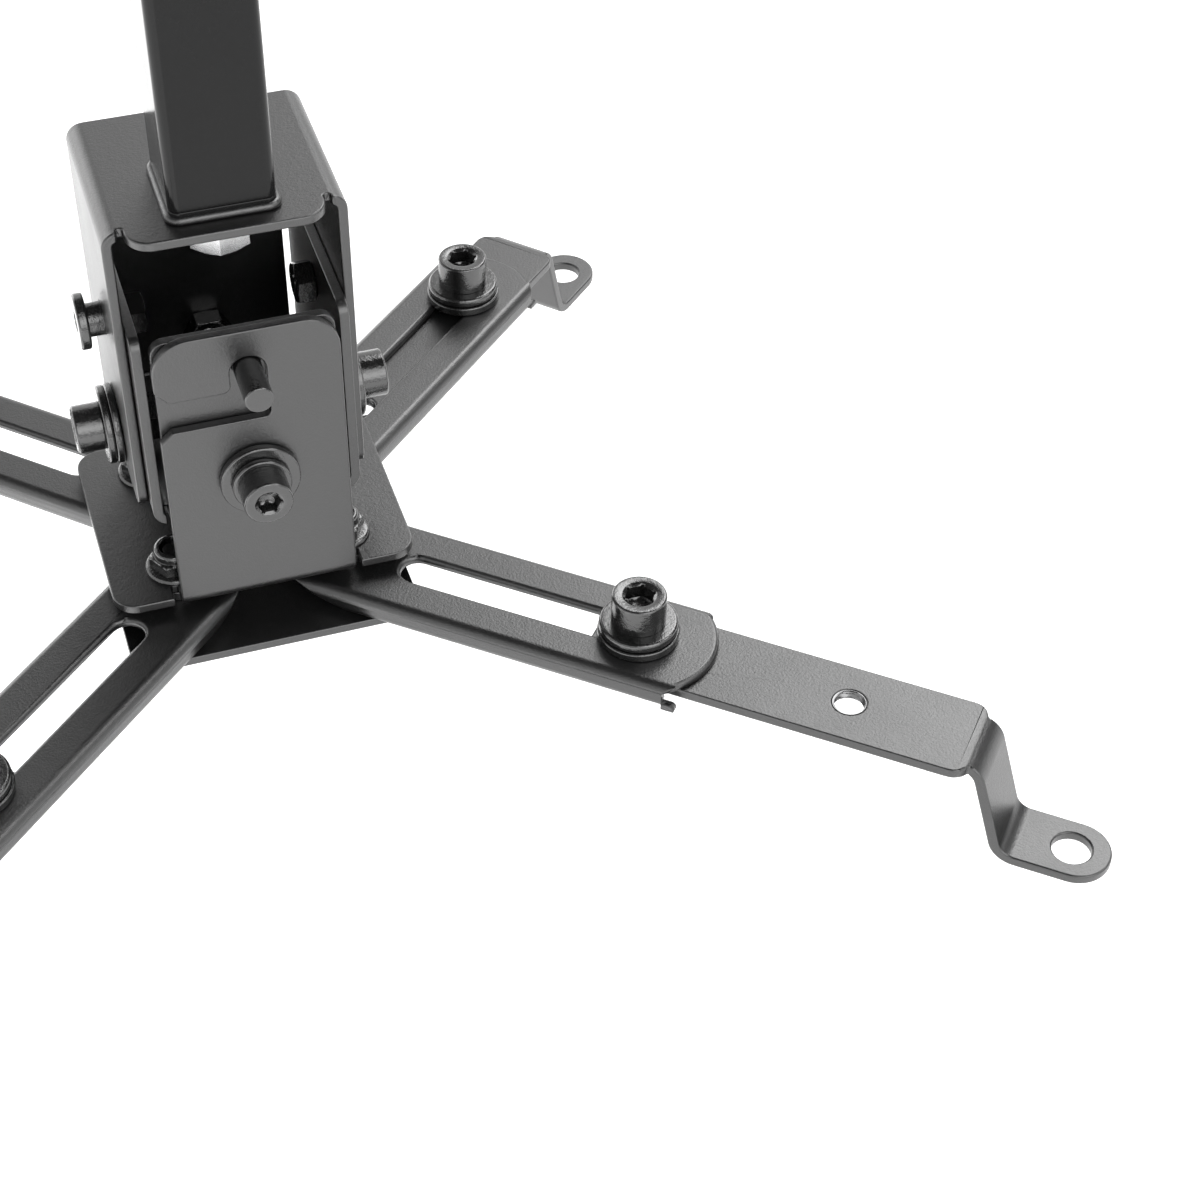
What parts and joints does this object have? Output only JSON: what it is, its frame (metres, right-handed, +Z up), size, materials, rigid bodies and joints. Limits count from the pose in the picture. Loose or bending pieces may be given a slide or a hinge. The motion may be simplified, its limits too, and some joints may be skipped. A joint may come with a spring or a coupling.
{
  "type": "projector ceiling mount",
  "caption": "Ceiling mount for a projector: plate and square column, tilting and rolling head, and swivelling slotted arms with sliding feet.",
  "frame": {"origin": "centre of the ceiling plate's top face, on the column's axis", "axes": "+Z up into the ceiling, +X to the right seen from the side of the short hook slot's plate at -Y"},
  "size_m": [0.2581, 0.2396, 0.218],
  "materials": {
    "powder_coat": "satin black powder coat",
    "dark_fasteners": "glossy black zinc",
    "bright_zinc": "bright zinc"
  },
  "bodies": {
    "ceiling": {"ceiling_plate": "powder_coat", "column_tube": "powder_coat", "column_end_plate": "powder_coat", "swivel_bolt": "bright_zinc", "swivel_washer": "bright_zinc", "swivel_nut": "bright_zinc"},
    "yoke": {"yoke": "powder_coat", "left_tilt_pivot_screw": "dark_fasteners", "right_tilt_pivot_screw": "dark_fasteners", "left_tilt_pivot_nut": "dark_fasteners", "right_tilt_pivot_nut": "dark_fasteners"},
    "tilt_head": {"cross_bracket": "powder_coat", "front_hook_pin": "powder_coat", "back_hook_pin": "powder_coat", "left_tilt_bolt": "dark_fasteners", "left_tilt_nut": "dark_fasteners", "left_tilt_washer_large": "dark_fasteners", "left_tilt_washer_small": "dark_fasteners", "right_tilt_bolt": "dark_fasteners", "right_tilt_nut": "dark_fasteners", "right_tilt_washer_large": "dark_fasteners", "right_tilt_washer_small": "dark_fasteners", "front_roll_bolt": "dark_fasteners", "front_roll_nut": "dark_fasteners", "front_roll_washer_large": "dark_fasteners", "front_roll_washer_small": "dark_fasteners", "back_roll_bolt": "dark_fasteners", "back_roll_nut": "dark_fasteners", "back_roll_washer_large": "dark_fasteners", "back_roll_washer_small": "dark_fasteners"},
    "lower_head": {"lower_bracket": "powder_coat", "bottom_plate": "powder_coat", "arm_pivot_bolts": "dark_fasteners", "arm_pivot_spacers": "dark_fasteners", "front_right_pivot_nut": "dark_fasteners", "front_left_pivot_nut": "dark_fasteners", "back_right_pivot_nut": "dark_fasteners", "back_left_pivot_nut": "dark_fasteners"},
    "front_right_arm": {"front_right_arm": "powder_coat"},
    "front_right_foot": {"front_right_extension": "powder_coat", "front_right_arm_screw": "dark_fasteners", "front_right_lower_washer": "dark_fasteners", "front_right_upper_washer": "dark_fasteners"},
    "front_left_arm": {"front_left_arm": "powder_coat"},
    "front_left_foot": {"front_left_extension": "powder_coat", "front_left_arm_screw": "dark_fasteners", "front_left_lower_washer": "dark_fasteners", "front_left_upper_washer": "dark_fasteners"},
    "back_right_arm": {"back_right_arm": "powder_coat"},
    "back_right_foot": {"back_right_extension": "powder_coat", "back_right_arm_screw": "dark_fasteners", "back_right_lower_washer": "dark_fasteners", "back_right_upper_washer": "dark_fasteners"},
    "back_left_arm": {"back_left_arm": "powder_coat"},
    "back_left_foot": {"back_left_extension": "powder_coat", "back_left_arm_screw": "dark_fasteners", "back_left_lower_washer": "dark_fasteners", "back_left_upper_washer": "dark_fasteners"}
  },
  "joints": [
    {"name": "column_swivel", "type": "hinge", "parent": "ceiling", "child": "yoke", "pos_m": [0, 0, -0.11675], "axis": [0, 0, 1], "continuous": true},
    {"name": "head_tilt", "type": "hinge", "parent": "yoke", "child": "tilt_head", "pos_m": [0, 0.008, -0.14315], "axis": [1, 0, 0], "range_deg": [-8, 8]},
    {"name": "head_roll", "type": "hinge", "parent": "tilt_head", "child": "lower_head", "pos_m": [0, 0.008, -0.14125], "axis": [0, 1, 0], "range_deg": [-8, 8]},
    {"name": "front_right_arm_swing", "type": "hinge", "parent": "lower_head", "child": "front_right_arm", "pos_m": [0.0155, -0.006, -0.19525], "axis": [0, 0, 1], "range_deg": [-30, 30]},
    {"name": "front_right_foot_slide", "type": "slide", "parent": "front_right_arm", "child": "front_right_foot", "axis": [0.7604, -0.6494, 0], "range_m": [-0.035, 0]},
    {"name": "front_left_arm_swing", "type": "hinge", "parent": "lower_head", "child": "front_left_arm", "pos_m": [-0.0155, -0.006, -0.19525], "axis": [0, 0, 1], "range_deg": [-30, 30]},
    {"name": "front_left_foot_slide", "type": "slide", "parent": "front_left_arm", "child": "front_left_foot", "axis": [-0.7266, -0.6871, 0], "range_m": [-0.035, 0]},
    {"name": "back_right_arm_swing", "type": "hinge", "parent": "lower_head", "child": "back_right_arm", "pos_m": [0.0155, 0.022, -0.19525], "axis": [0, 0, 1], "range_deg": [-30, 30]},
    {"name": "back_right_foot_slide", "type": "slide", "parent": "back_right_arm", "child": "back_right_foot", "axis": [0.7278, 0.6858, 0], "range_m": [-0.006, 0]},
    {"name": "back_left_arm_swing", "type": "hinge", "parent": "lower_head", "child": "back_left_arm", "pos_m": [-0.0155, 0.022, -0.19525], "axis": [0, 0, 1], "range_deg": [-30, 30]},
    {"name": "back_left_foot_slide", "type": "slide", "parent": "back_left_arm", "child": "back_left_foot", "axis": [-0.7218, 0.6921, 0], "range_m": [-0.035, 0]}
  ]
}
